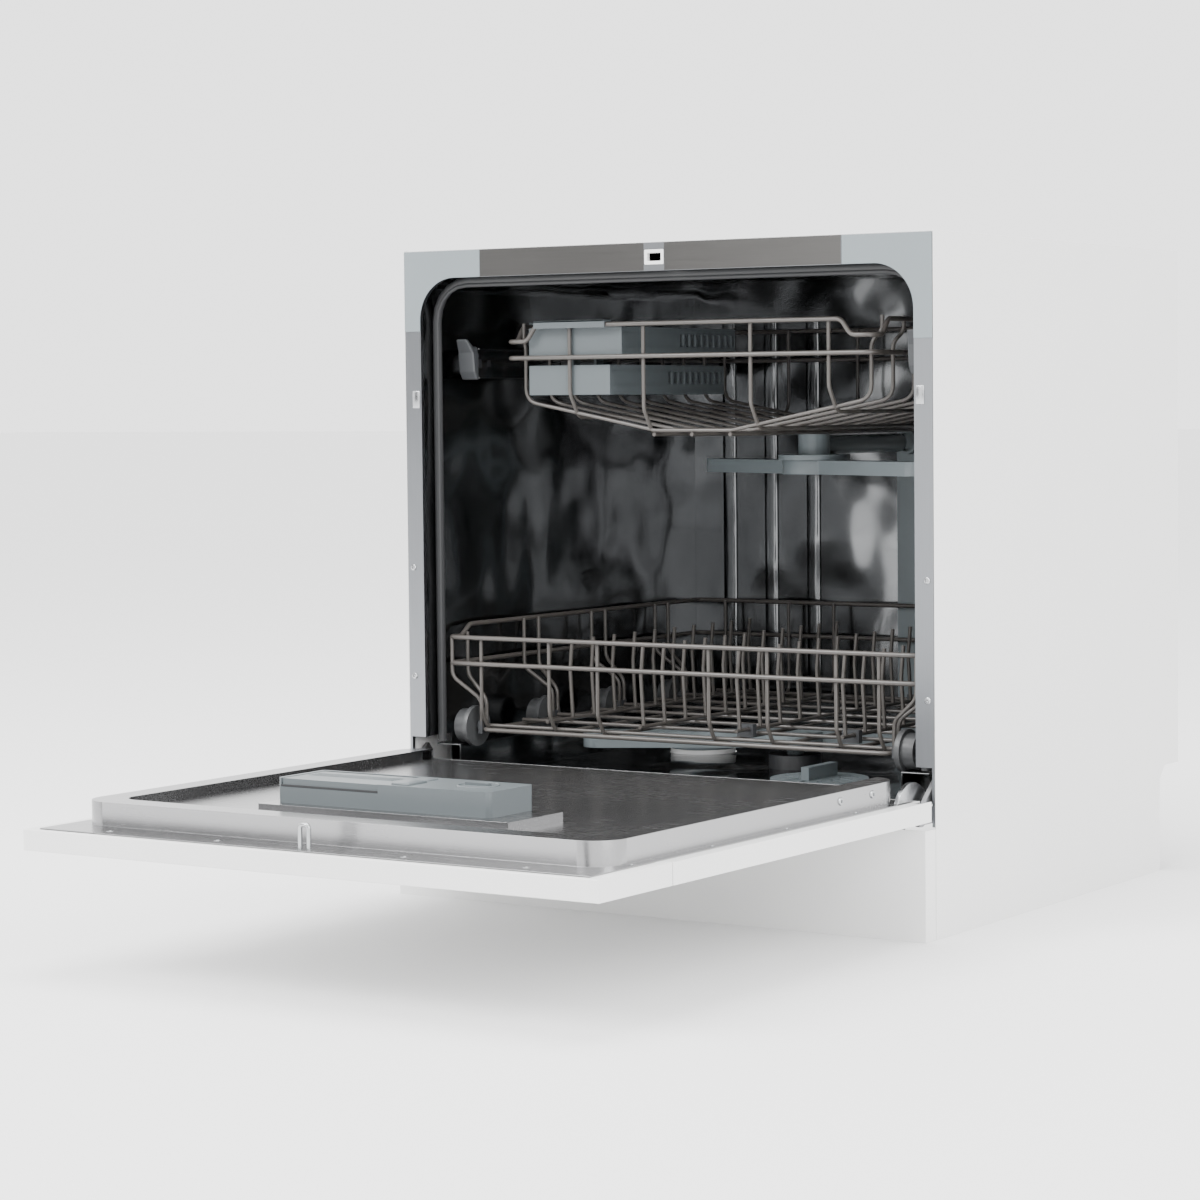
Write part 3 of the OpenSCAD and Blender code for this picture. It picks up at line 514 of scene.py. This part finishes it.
class DISHWASHER_OT_lower_rack(bpy.types.Operator):
    """Build the lower rack from bent wires"""

    bl_idname = "dishwasher.lower_rack"
    bl_label = "Lower rack"

    def execute(self, context):
        s = settings()
        thick, thin = s.wire_diameter / 2, s.fill_diameter / 2
        ends, floor = Extent("lower_rack_ends"), Extent("lower_rack_floor")
        sides = Extent("lower_rack_sides")
        x1 = sides.right - thick
        y0, y1 = ends.front + thick, ends.rear - thick
        z1 = sides.top - thick
        z0 = floor.bottom + thick
        wheels = [Extent("lower_wheels_%d" % i) for i in range(1, 5)]
        wheel_y = [(w.front + w.rear) / 2 for w in wheels]
        pitch = wheel_y[1] - wheel_y[0]
        inner = floor.right - thick
        # the top wire dips at the front corners
        step = 20 * MM
        dip = 10 * MM
        rim = [(-x1, y0, z1 - dip), (x1, y0, z1 - dip), (x1, y0 + step, z1 - dip),
               (x1, y0 + 1.7 * step, z1), (x1, y1, z1), (-x1, y1, z1),
               (-x1, y0 + 1.7 * step, z1), (-x1, y0 + step, z1 - dip)]
        z2 = z1 - 34 * MM
        middle = [(-x1, y0, z2), (x1, y0, z2), (x1, y1, z2), (-x1, y1, z2)]
        foot = [(-inner, y0 + 6 * MM, z0), (inner, y0 + 6 * MM, z0),
                (inner, y1 - 6 * MM, z0), (-inner, y1 - 6 * MM, z0)]
        loops = wires("lower_rack_rims", [rim, middle, foot], thick, "wire", s.bend_radius, closed=True)
        low = z0 + 3.6 * MM
        x2, gap_y = x1 - 3.6 * MM, 3.4 * MM
        paths = []
        over = wheels[0].top + 6.4 * MM
        hip = inner + 3 * MM

        def rim_z(y):
            ramp = (y - y0 - step) / (0.7 * step)
            return z1 - dip * (1 - min(1.0, max(0.0, ramp)))

        for w in wheel_y:
            # a hairpin bends in over each wheel and comes down on its bracket
            for side in SIDES:
                fore, aft = [
                    [(side * x2, w + dy, rim_z(w + dy)), (side * x2, w + dy, over + 21 * MM),
                     (side * hip, w + dy / 3, over), (side * hip, w + dy / 3, z0)]
                    for dy in (-13 * MM, 11 * MM)]
                paths.append(fore + aft[::-1])
            for y in (w, min(w + pitch / 2, y1 - 12 * MM)):
                paths.append([(-inner, y, low), (inner, y, low)])
        for x in [p * MM for p in (-212, -136, -83, 35, 95, 164, 206)]:
            foot = y0 + gap_y + 10 * MM
            paths.append([(x, y0 + gap_y, z1 - dip), (x, y0 + gap_y, z0 + 18 * MM), (x, foot, z0),
                          (x, y1 - gap_y, z0), (x, y1 - gap_y, z1)])
        fill = wires("lower_rack_wires", paths, thin, "wire", 1.4 * s.bend_radius)
        for piece in (loops, fill):
            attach(piece, "lower_rack")
            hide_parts("lower_rack_sides", "lower_rack_ends", "lower_rack_floor")
        return {"FINISHED"}


class DISHWASHER_OT_wheel_faces(bpy.types.Operator):
    """Add dark plates between the spokes of the wheels: painted shade in the pockets there"""

    bl_idname = "dishwasher.wheel_faces"
    bl_label = "Wheel faces"

    def execute(self, context):
        spokes, rim, hub = 8, 12.6 * MM, 4.6 * MM
        half_gap = math.radians(18.5)
        corners = ((hub, -half_gap), (rim, -half_gap), (rim, 0.0), (rim, half_gap), (hub, half_gap))
        for i in range(1, 5):
            name = "lower_wheels_%d" % i
            room = Extent(name)
            y, z = (room.front + room.rear) / 2, (room.bottom + room.top) / 2
            # each dark plate is painted shade for the pocket between two spokes
            pocket_shades = []
            for side in SIDES:
                face = side * room.right
                for k in range(spokes):
                    middle = 2 * math.pi * k / spokes
                    outline = [(y + r * math.cos(middle + turn), z + r * math.sin(middle + turn))
                               for r, turn in corners]
                    pocket_shades.append(self.plate(outline, face, side * 0.15 * MM))
            piece = joined(name + "_pockets", pocket_shades, "dark", smooth=False)
            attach(piece, name)
        return {"FINISHED"}

    def plate(self, outline, x, reach):
        """A thin closed plate on both sides of the plane x."""
        count = len(outline)
        points = [(face_x, y, z) for face_x in (x - reach, x + reach) for y, z in outline]
        faces = [tuple(range(count)), tuple(range(2 * count - 1, count - 1, -1))]
        faces += [(i, (i + 1) % count, count + (i + 1) % count, count + i) for i in range(count)]
        mesh = bpy.data.meshes.new("plate")
        mesh.from_pydata(points, [], faces)
        return mesh


class DISHWASHER_OT_tines(bpy.types.Operator):
    """Build the fixed and folding rows of tines"""

    bl_idname = "dishwasher.tines"
    bl_label = "Plate tines"

    def rows(self, node, axes):
        """Each row is a string of hairpin tines with a foot wire."""
        s = settings()
        room = Extent(node)
        radius = s.fill_diameter / 2
        count = 11
        pitch = (room.rear - room.front - 16 * MM) / (count - 1)
        lean = 5 * MM
        low = room.bottom + s.wire_diameter / 2
        paths = []
        for x in axes:
            paths.append([(x, room.front + radius, low), (x, room.rear - radius, low)])
            for i in range(count):
                y = room.front + 8 * MM + i * pitch
                paths.append([(x, y, low), (x - lean / 2, y, low + 0.6 * (room.top - low)),
                              (x, y, room.top - radius)])
        return wires(node + "_wires", paths, radius, "wire", 14 * MM)

    def execute(self, context):
        fixed = Extent("fixed_tines")
        half = settings().wire_diameter / 2
        plan = [("fixed_tines", "lower_rack", [fixed.left + half, fixed.right - half])]
        for name in ("folding_tines_inner", "folding_tines_outer"):
            room = Extent(name)
            plan.append((name, name, [(room.left + room.right) / 2]))
        for node, body, axes in plan:
            piece = self.rows(node, axes)
            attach(piece, body)
            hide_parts(node)
        return {"FINISHED"}


class DISHWASHER_OT_upper_rack(bpy.types.Operator):
    """Build the upper rack from bent wires"""

    bl_idname = "dishwasher.upper_rack"
    bl_label = "Upper rack"

    def execute(self, context):
        s = settings()
        thick, thin = s.wire_diameter / 2, s.fill_diameter / 2
        ends, floor = Extent("upper_rack_ends"), Extent("upper_rack_floor")
        sides = Extent("upper_rack_sides")
        x1 = sides.right - thick
        y0, y1 = ends.front + thick, ends.rear - thick
        z1 = ends.top - thick
        z0 = floor.bottom + thick
        z2 = z1 - 29 * MM
        drop = 14 * MM
        flat_x = x1 - 32 * MM
        rim = [(-flat_x, y0, z1), (flat_x, y0, z1), (flat_x + 10 * MM, y0, z1 - drop),
               (x1, y0, z1 - drop), (x1, y0 + 16 * MM, z1 - drop), (x1, y0 + 26 * MM, z1),
               (x1, y1, z1), (-x1, y1, z1), (-x1, y0 + 26 * MM, z1), (-x1, y0 + 16 * MM, z1 - drop),
               (-x1, y0, z1 - drop), (-flat_x - 10 * MM, y0, z1 - drop)]
        middle = [(-x1, y0, z2), (x1, y0, z2), (x1, y1, z2), (-x1, y1, z2)]
        loops = wires("upper_rack_rims", [rim, middle], thick, "wire", s.bend_radius, closed=True)
        flat = floor.right - thick
        fall = (27 * MM) / (x1 - 3.6 * MM - flat)

        def floor_z(x):
            return z0 + fall * max(0.0, abs(x) - flat)

        low = z0 + 3.6 * MM
        x2, jog = x1 - 3.4 * MM, 7 * MM
        hangers = 10
        paths = []
        for y in evenly(y0 + 22 * MM, y1 - 28 * MM, hangers):
            hanger = [(x2, y, z1 + 3 * MM), (x2, y, z1 - 11 * MM), (x2 - jog, y - jog, z1 - 19 * MM),
                      (x2 - jog, y - jog, floor_z(x2) + low - z0), (flat, y - jog, low)]
            paths.append([(-x, y, z) for x, y, z in hanger] + hanger[::-1])
        gap_y = 3.4 * MM
        for x in [p * MM for p in (-125, -45, 67, 146)]:
            z, foot = floor_z(x), y0 + gap_y + 14 * MM
            paths.append([(x, y0 + gap_y, z1), (x, y0 + gap_y, z + 22 * MM), (x, foot, z),
                          (x, y1 - gap_y, z), (x, y1 - gap_y, z1)])
        for x in (-flat, 0.0, flat):
            paths.append([(x, y0 + 12 * MM, z0), (x, y1 - 12 * MM, z0)])
        fill = wires("upper_rack_wires", paths, thin, "wire", 1.5 * s.bend_radius)
        for piece in (loops, fill):
            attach(piece, "upper_rack")
            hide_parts("upper_rack_sides", "upper_rack_ends", "upper_rack_floor")
        return {"FINISHED"}


class DISHWASHER_OT_rails(bpy.types.Operator):
    """Add dark plates near the front of each rail: painted shade where the stamped slot and hole are"""

    bl_idname = "dishwasher.rails"
    bl_label = "Rail details"

    def execute(self, context):
        rails = Extent("upper_rails")
        web = (rails.right + Extent("rail_end_caps").right) / 2 - 9 * MM
        middle = (rails.bottom + rails.top) / 2
        deep, long = 0.15 * MM, 6 * MM
        # dark plates on both faces of the web: painted shade standing for the openings
        opening_shades = []
        for side in SIDES:
            for face in SIDES:
                x = side * web + face * 0.75 * MM
                for start, half in ((9 * MM, 4 * MM), (24 * MM, 3 * MM)):
                    y = rails.front + start
                    opening_shades.append(block((x - deep, y, middle - half),
                                       (x + deep, y + long, middle + half), 0.1 * MM))
        piece = joined("rail_slots", opening_shades, "dark", smooth=False)
        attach(piece, "upper_rails")
        return {"FINISHED"}


class DISHWASHER_OT_trays(bpy.types.Operator):
    """Build the slotted cutlery trays"""

    bl_idname = "dishwasher.trays"
    bl_label = "Cutlery trays"

    def execute(self, context):
        for node in ("cutlery_tray_upper", "cutlery_tray_lower"):
            self.tray(node)
        return {"FINISHED"}

    def tray(self, node):
        room = Extent(node)
        lip = node.endswith("upper")
        left = room.left + 22.5 * MM
        front = room.front + (10.1 if lip else 0.0) * MM
        top = room.top - (6.2 if lip else 11.2) * MM
        wall, slat = 2.0 * MM, 3.0 * MM
        right, base = room.right, room.bottom
        slot_low, slot_high = top - 17 * MM, top - 6 * MM
        half = (front + room.rear) / 2
        parts = []

        def add(low, high, width=0.5 * MM):
            parts.append(block(low, high, width))

        def right_wall(y0, y1, z0, z1, width=0.5 * MM):
            add((right - wall, y0, z0), (right, y1, z1), width)

        add((left, front, base), (right, front + wall, top))
        add((left, room.rear - wall, base), (right, room.rear, top))
        add((left, front + MM, base), (left + wall, room.rear - MM, top))
        # the right wall is closed, except for a row of slots in its rear half
        right_wall(front + MM, room.rear - MM, base, slot_low)
        right_wall(front + MM, room.rear - MM, slot_high, top)
        right_wall(front + MM, half, slot_low - MM, slot_high + MM, 0.2 * MM)
        bars = evenly(half + 6 * MM, room.rear - 7 * MM, 9)
        for y in bars:
            right_wall(y, y + 4 * MM, slot_low - MM, slot_high + MM, 0.2 * MM)
        for y in bars:
            right_wall(y + 3 * MM, y + 4 * MM, slot_low + MM, slot_high - MM, 0)
        # the bottom is a grid of slats
        for x in evenly(left + 4 * MM, right - 4 * MM - slat, 9):
            add((x, front + MM, base), (x + slat, room.rear - MM, base + 2 * MM))
        for y in evenly(front + 4 * MM, room.rear - 4 * MM - slat, 16):
            add((left + MM, y, base + 0.3 * MM), (right - MM, y + slat, base + 1.7 * MM))
        if lip:
            lip_left, lip_right = left + 12 * MM, right - 12 * MM
            add((lip_left, room.front, room.top - 2 * MM), (lip_right, front + wall, room.top))
            add((lip_left, front, top - MM), (lip_right, front + wall, room.top))
            add((lip_left, room.front, room.top - 7 * MM),
                (lip_right, room.front + 1.6 * MM, room.top))
        # two hooks hang the tray on the rack's side
        hooks = (38, 152) if lip else (76, 114)
        for y in [front - 6 * MM + h * MM for h in hooks]:
            add((left - 2.4 * MM, y, top - 12 * MM), (left + MM, y + 12 * MM, room.top))
            add((room.left, y, room.top - 2 * MM), (left + MM, y + 12 * MM, room.top))
        piece = joined(node + "_slotted", parts, "tray", smooth=False)
        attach(piece, "upper_rack")
        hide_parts(node)


class DISHWASHER_OT_gasket(bpy.types.Operator):
    """Build the rubber seal round the tub opening"""

    bl_idname = "dishwasher.gasket"
    bl_label = "Door seal"

    def execute(self, context):
        room = Extent("door_gasket")
        radius, inset = 4.1 * MM, 3.4 * MM
        x, y, top = room.right - inset, room.front + radius + 0.4 * MM, room.top - inset
        bulb = wires("seal_bulb", [self.arch(room, x, y, top)], radius, "rubber", 36 * MM, 20)
        lip = self.arch(room, x - 1.5 * MM, y - 1.8 * MM, top - 4 * MM)
        edge = wires("seal_lip", [lip], 2.2 * MM, "rubber", 33 * MM, 12)
        for piece in (bulb, edge):
            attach(piece, "cabinet")
            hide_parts("door_gasket")
        return {"FINISHED"}

    def arch(self, room, x, y, top):
        """Up one side of the opening, across its top and down the other side."""
        return [(-x, y, room.bottom), (-x, y, top), (x, y, top), (x, y, room.bottom)]


class DISHWASHER_OT_tub(bpy.types.Operator):
    """Add the ribs of the back wall, the header strip and the clips behind the frame"""

    bl_idname = "dishwasher.tub"
    bl_label = "Tub details"

    def execute(self, context):
        back, tub = Extent("tub_back"), Extent("tub_wrapper")
        rib = 8 * MM
        y = back.front - 0.5 * MM
        heights = (170 * MM, 530 * MM)
        paths = [[(x * MM, y, z) for z in heights] for x in (-215, -165, -115, 115, 165, 215)]
        ribs = wires("back_wall_ribs", paths, rib, "polished", 4 * MM, 24, 0.3)
        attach(ribs, "cabinet")
        frame_box = Extent("front_frame")
        trims = Extent("corner_trims")
        keeper = Extent("latch_keeper")
        near, far = keeper.right + 0.6 * MM, 187.5 * MM
        face, low = trims.front - 0.05 * MM, trims.top - 24.2 * MM
        plates = [block((x0, face, low), (x1, trims.rear, trims.top), 0.02 * MM)
                  for x0, x1 in ((-far, -near), (near, far))]
        # the strip's darker steel is painted shade for the dark that it mirrors
        strip = joined("header_strip", plates, "strip", smooth=False)
        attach(strip, "cabinet")
        clip_x = tub.right + 2.5 * MM
        clip_y = frame_box.rear - 4 * MM
        clips = [block((side * clip_x - 4 * MM, clip_y - 1.0 * MM, 446 * MM),
                       (side * clip_x + 4 * MM, clip_y + MM, 462 * MM), 0.6 * MM) for side in SIDES]
        piece = joined("frame_clips", clips, "screw")
        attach(piece, "cabinet")
        return {"FINISHED"}


class DISHWASHER_OT_screws(bpy.types.Operator):
    """Add the visible screws of the door, the liner and the frame"""

    bl_idname = "dishwasher.screws"
    bl_label = "Screws"

    def execute(self, context):
        liner = Extent("door_liner")
        flange_top = liner.bottom + 0.8 * MM
        edge_y = evenly(liner.front + 60 * MM, liner.rear - 90 * MM, 4)
        edge_x = liner.right - 4.5 * MM
        points = [(side * edge_x, y, flange_top) for side in SIDES for y in edge_y]
        points += [(x * MM, liner.front + 12 * MM, flange_top) for x in (-200, -90, 90, 200)]
        flat = copies("flange_screws", screw_shape(3.2 * MM, 0.3 * MM, UP), points, "screw")
        side_x = liner.right - 9 * MM
        out = Matrix.Rotation(math.radians(90), 4, "Y")
        cabinet_front = -246.5 * MM
        walls = [(side_x, cabinet_front + y * MM, 129 * MM) for y in (-124, -72)]
        head = screw_shape(3.4 * MM, 1.2 * MM, out)
        right = copies("liner_screws_right", head, walls, "screw")
        walls = [(-x, y, z) for x, y, z in walls]
        head = screw_shape(3.4 * MM, 1.2 * MM, out.inverted())
        left = copies("liner_screws_left", head, walls, "screw")
        for piece in (flat, right, left):
            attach(piece, "door")
        front = Extent("corner_trims")
        toward = Matrix.Rotation(math.radians(90), 4, "X")
        spots = [(side * 267.5 * MM, front.rear - 0.4 * MM, z * MM)
                 for side in SIDES for z in (300, 200)]
        piece = copies("frame_screws", screw_shape(3.0 * MM, 0.9 * MM, toward), spots, "screw")
        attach(piece, "cabinet")
        return {"FINISHED"}


class DISHWASHER_OT_dispenser(bpy.types.Operator):
    """Add the catch, a dark plate as painted shade in the lid's slit, the lid's ribs, the cap's ring
    and the latch loop
    """

    bl_idname = "dishwasher.dispenser"
    bl_label = "Dispenser details"

    def execute(self, context):
        body, lid, cap = Extent("dispenser_body"), Extent("dispenser_lid"), Extent("rinse_cap")
        top = body.top
        catch_x = lid.right + 16 * MM
        middle = (body.front + body.rear) / 2
        parts = [
            block((catch_x - 9 * MM, body.front + 5 * MM, top - MM),
                  (catch_x + 9 * MM, middle, top + 1.6 * MM), 1.2 * MM, 3),
            block((catch_x - 5 * MM, middle + 6 * MM, top - MM),
                  (catch_x + 5 * MM, body.rear - 10 * MM, top + MM), 0.8 * MM, 3),
        ]
        piece = joined("dispenser_catch", parts, "tray")
        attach(piece, "door")
        # a dark plate under the lid's front edge: painted shade in the slit
        slit = block((lid.left + 2 * MM, body.front - 0.2 * MM, lid.bottom - 1.4 * MM),
                     (lid.right - 2 * MM, body.front + MM, lid.bottom + 0.4 * MM), 0.2 * MM)
        shade = joined("lid_slit", [slit], "dark", smooth=False)
        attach(shade, "door")
        strike = Extent("latch_strike")
        y, reach = (strike.front + strike.rear) / 2, strike.right - 1.8 * MM
        bridge = strike.top - 1.8 * MM
        loop = [(-reach, y, strike.bottom), (-reach, y, bridge), (reach, y, bridge),
                (reach, y, strike.bottom)]
        hook = wires("latch_loop", [loop], 1.8 * MM, "screw", 3 * MM)
        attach(hook, "door")
        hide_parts("latch_strike")
        cap_x, cap_y = (cap.left + cap.right) / 2, (cap.front + cap.rear) / 2
        radius = (cap.right - cap.left) / 2 + 2.2 * MM
        loop = [(x, y, top) for x, y in circle(cap_x, cap_y, radius, 16)]
        edge = wires("rinse_cap_ring", [loop], 0.9 * MM, "tray", MM, 10, closed=True)
        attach(edge, "door")
        lid_ribs = [block((lid.left + 8 * MM, y, lid.top - 0.4 * MM),
                          (lid.right - 8 * MM, y + 1.6 * MM, lid.top + 0.4 * MM), 0.3 * MM)
                    for y in evenly(lid.front + 26 * MM, lid.front + 38 * MM, 4)]
        grips = joined("lid_grips", lid_ribs, "tray")
        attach(grips, "dispenser_lid")
        return {"FINISHED"}


# ---- stage ----


class DISHWASHER_OT_stage(bpy.types.Operator):
    """Set up the floor, the light and the camera"""

    bl_idname = "dishwasher.stage"
    bl_label = "Stage"

    def execute(self, context):
        self.floor()
        self.lights()
        self.camera()
        return {"FINISHED"}

    def floor(self):
        mesh = bpy.data.meshes.new("floor")
        reach = 40.0
        corners = [(-reach, -reach, 0), (reach, -reach, 0), (reach, reach, 0), (-reach, reach, 0)]
        mesh.from_pydata(corners, [], [(0, 1, 2, 3)])
        floor = add_object("floor", mesh)
        look = Look("pale_floor")
        look.finish(Base_Color=look.tint((0.9, 0.9, 0.9), 0.985, look.noise(2.0)),
                    Roughness=look.noise(3.0) * 0.1 + 0.7)
        mesh.materials.append(look.material)
        # dark cards out of view give the polished steel something dark to mirror
        look = Look("dark_card")
        look.finish(Base_Color=look.tint((0.02, 0.02, 0.022), 0.8, look.noise(3.0)),
                    Roughness=look.noise(4.0) * 0.1 + 0.8)
        thick = 0.02
        cards = {"card_left": (-2.6, -1.3, -2.6, 0.3, 1.5), "card_front": (-0.5, 0.5, -4.6, 0.0, 1.2)}
        for name, (x0, x1, y, z0, z1) in cards.items():
            card = add_object(name, block((x0, y, z0), (x1, y + thick, z1)))
            card.data.materials.append(look.material)

    def lights(self):
        world = bpy.data.worlds.new("studio")
        bpy.context.scene.world = world
        world.use_nodes = True
        shade = world.node_tree.nodes["Background"]
        shade.inputs["Color"].default_value = (1.0, 1.0, 1.0, 1.0)
        shade.inputs["Strength"].default_value = 2.6
        plan = {
            "key": ((-1.6, -2.6, 2.6), 1.6, 120.0),
            "fill": ((2.6, -1.6, 1.8), 1.6, 50.0),
            "top": ((0.0, -0.3, 3.2), 1.8, 80.0),
        }
        target = Vector((0.0, -0.2, 0.3))
        for name, (place, size, power) in plan.items():
            data = bpy.data.lights.new(name, "AREA")
            data.size, data.energy = size, power
            lamp = bpy.data.objects.new(name, data)
            lamp.location = place
            lamp.rotation_euler = (target - lamp.location).to_track_quat("-Z", "Y").to_euler()
            bpy.context.scene.collection.objects.link(lamp)

    def camera(self):
        yaw, pitch, roll = (math.radians(a) for a in (32.187, 3.047, -0.478))
        level = math.cos(pitch)
        back = Vector((math.sin(yaw) * level, -math.cos(yaw) * level, math.sin(pitch)))
        right = (-back).cross(Vector((0, 0, 1))).normalized()
        up = right.cross(-back)
        turned_right = right * math.cos(roll) + up * math.sin(roll)
        turned_up = up * math.cos(roll) - right * math.sin(roll)
        data = bpy.data.cameras.new("camera")
        data.lens, data.sensor_width = 94.98, 36.0
        data.shift_x, data.shift_y = -0.0948, -0.0246
        data.clip_end = 100.0
        eye = bpy.data.objects.new("camera", data)
        basis = Matrix((turned_right, turned_up, back)).transposed().to_4x4()
        eye.matrix_world = Matrix.Translation((1.5146, -2.56, 0.4496)) @ basis
        bpy.context.scene.collection.objects.link(eye)
        bpy.context.scene.camera = eye


OPERATORS = (
    DISHWASHER_OT_finishes, DISHWASHER_OT_lower_rack, DISHWASHER_OT_wheel_faces, DISHWASHER_OT_tines,
    DISHWASHER_OT_upper_rack, DISHWASHER_OT_rails, DISHWASHER_OT_trays, DISHWASHER_OT_gasket,
    DISHWASHER_OT_tub, DISHWASHER_OT_screws, DISHWASHER_OT_dispenser, DISHWASHER_OT_stage,
)


class DISHWASHER_PT_panel(bpy.types.Panel):
    """Settings and build steps of the dishwasher"""

    bl_label = "Dishwasher"
    bl_idname = "DISHWASHER_PT_panel"
    bl_space_type = "VIEW_3D"
    bl_region_type = "UI"
    bl_category = "Dishwasher"

    def draw(self, context):
        for name in DishwasherSettings.__annotations__:
            self.layout.prop(context.scene.dishwasher, name)
        for operator in OPERATORS:
            self.layout.operator(operator.bl_idname)


CLASSES = (DishwasherSettings,) + OPERATORS + (DISHWASHER_PT_panel,)


def register():
    for item in CLASSES:
        bpy.utils.register_class(item)
    bpy.types.Scene.dishwasher = bpy.props.PointerProperty(type=DishwasherSettings)


def unregister():
    del bpy.types.Scene.dishwasher
    for item in reversed(CLASSES):
        bpy.utils.unregister_class(item)


def main():
    register()
    for operator in OPERATORS:
        group, name = operator.bl_idname.split(".")
        getattr(getattr(bpy.ops, group), name)()


if __name__ == "__main__":
    main()
